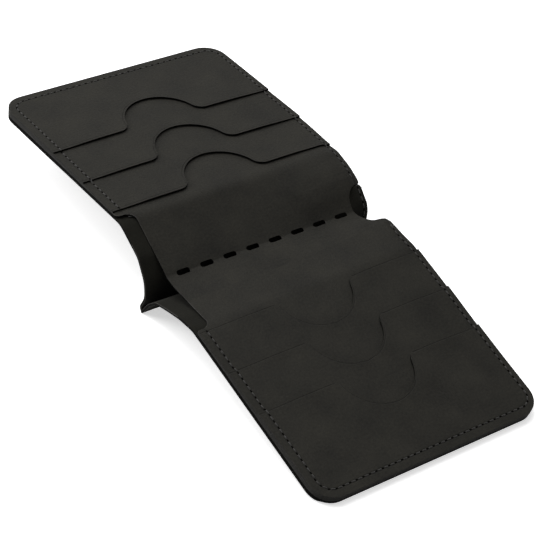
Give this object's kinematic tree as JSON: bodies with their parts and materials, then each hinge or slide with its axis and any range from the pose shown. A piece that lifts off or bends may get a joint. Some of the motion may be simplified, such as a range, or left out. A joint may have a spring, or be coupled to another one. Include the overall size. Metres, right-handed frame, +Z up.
{
  "type": "bifold wallet",
  "caption": "Open bifold leather wallet: stacked card pockets with thumb cuts on both halves, a slotted spine liner and a loose outer shell that holds notes.",
  "frame": {"origin": "bottom centre of the open wallet's bounding box, on the surface it lies on", "axes": "+Z up, out of the card pockets; +Y from the near half across the spine to the far half; +X along the spine, away from the open end of the note compartment"},
  "size_m": [0.097, 0.2076, 0.029],
  "materials": {
    "leather": "matte fine grain, charcoal with black painted edges",
    "lining": "plain woven",
    "thread": "waxed tonal thread"
  },
  "bodies": {
    "far_half": {"far_shell_panel": "leather", "far_shell_lining": "lining", "far_liner_panel": "leather", "far_inner_pocket": "leather", "far_middle_pocket": "leather", "far_outer_pocket": "leather", "far_pocket_seam": "thread", "far_border_seam": "thread"},
    "spine_far": {"spine_liner_far": "leather", "spine_far_seam": "thread"},
    "spine_near": {"spine_liner_near": "leather", "spine_near_seam": "thread"},
    "near_half": {"near_shell_panel": "leather", "near_shell_lining": "lining", "near_liner_panel": "leather", "near_inner_pocket": "leather", "near_middle_pocket": "leather", "near_outer_pocket": "leather", "near_pocket_seam": "thread", "near_border_seam": "thread"},
    "shell_far_upper": {"shell_fold_far_upper": "leather"},
    "shell_far_lower": {"shell_fold_far_lower": "leather"},
    "shell_near_upper": {"shell_fold_near_upper": "leather"},
    "shell_near_lower": {"shell_fold_near_lower": "leather"}
  },
  "joints": [
    {"name": "far_liner_hinge", "type": "hinge", "parent": "far_half", "child": "spine_far", "pos_m": [0, 0.02189, 0.02817], "axis": [-1, 0, 0], "range_deg": [0, 36.9]},
    {"name": "spine_fold", "type": "hinge", "parent": "spine_far", "child": "spine_near", "pos_m": [0, -0.00078, 0.01716], "axis": [-1, 0, 0], "range_deg": [0, 141.4]},
    {"name": "near_liner_hinge", "type": "hinge", "parent": "spine_near", "child": "near_half", "pos_m": [0, -0.02668, 0.0173], "axis": [-1, 0, 0], "range_deg": [0, 17.8]},
    {"name": "far_shell_hinge", "type": "hinge", "parent": "far_half", "child": "shell_far_upper", "pos_m": [0, 0.02172, 0.02603], "axis": [-1, 0, 0], "range_deg": [0, 32.2]},
    {"name": "far_shell_knee", "type": "hinge", "parent": "shell_far_upper", "child": "shell_far_lower", "pos_m": [0, 0.00742, 0.0186], "axis": [-1, 0, 0], "range_deg": [0, 66.9]},
    {"name": "near_shell_hinge", "type": "hinge", "parent": "near_half", "child": "shell_near_upper", "pos_m": [0, -0.02626, 0.01519], "axis": [-1, 0, 0], "range_deg": [-21.1, 0]},
    {"name": "near_shell_knee", "type": "hinge", "parent": "shell_near_upper", "child": "shell_near_lower", "pos_m": [0, -0.00478, 0.0115], "axis": [-1, 0, 0], "range_deg": [-63.2, 0]}
  ],
  "couplings": [
    {"joint": "far_liner_hinge", "follows": "spine_fold", "ratio": 0.25969},
    {"joint": "near_liner_hinge", "follows": "spine_fold", "ratio": 0.1242},
    {"joint": "far_shell_hinge", "follows": "spine_fold", "ratio": 0.22654},
    {"joint": "far_shell_knee", "follows": "spine_fold", "ratio": 0.47139},
    {"joint": "near_shell_hinge", "follows": "spine_fold", "ratio": -0.14803},
    {"joint": "near_shell_knee", "follows": "spine_fold", "ratio": -0.44529}
  ]
}
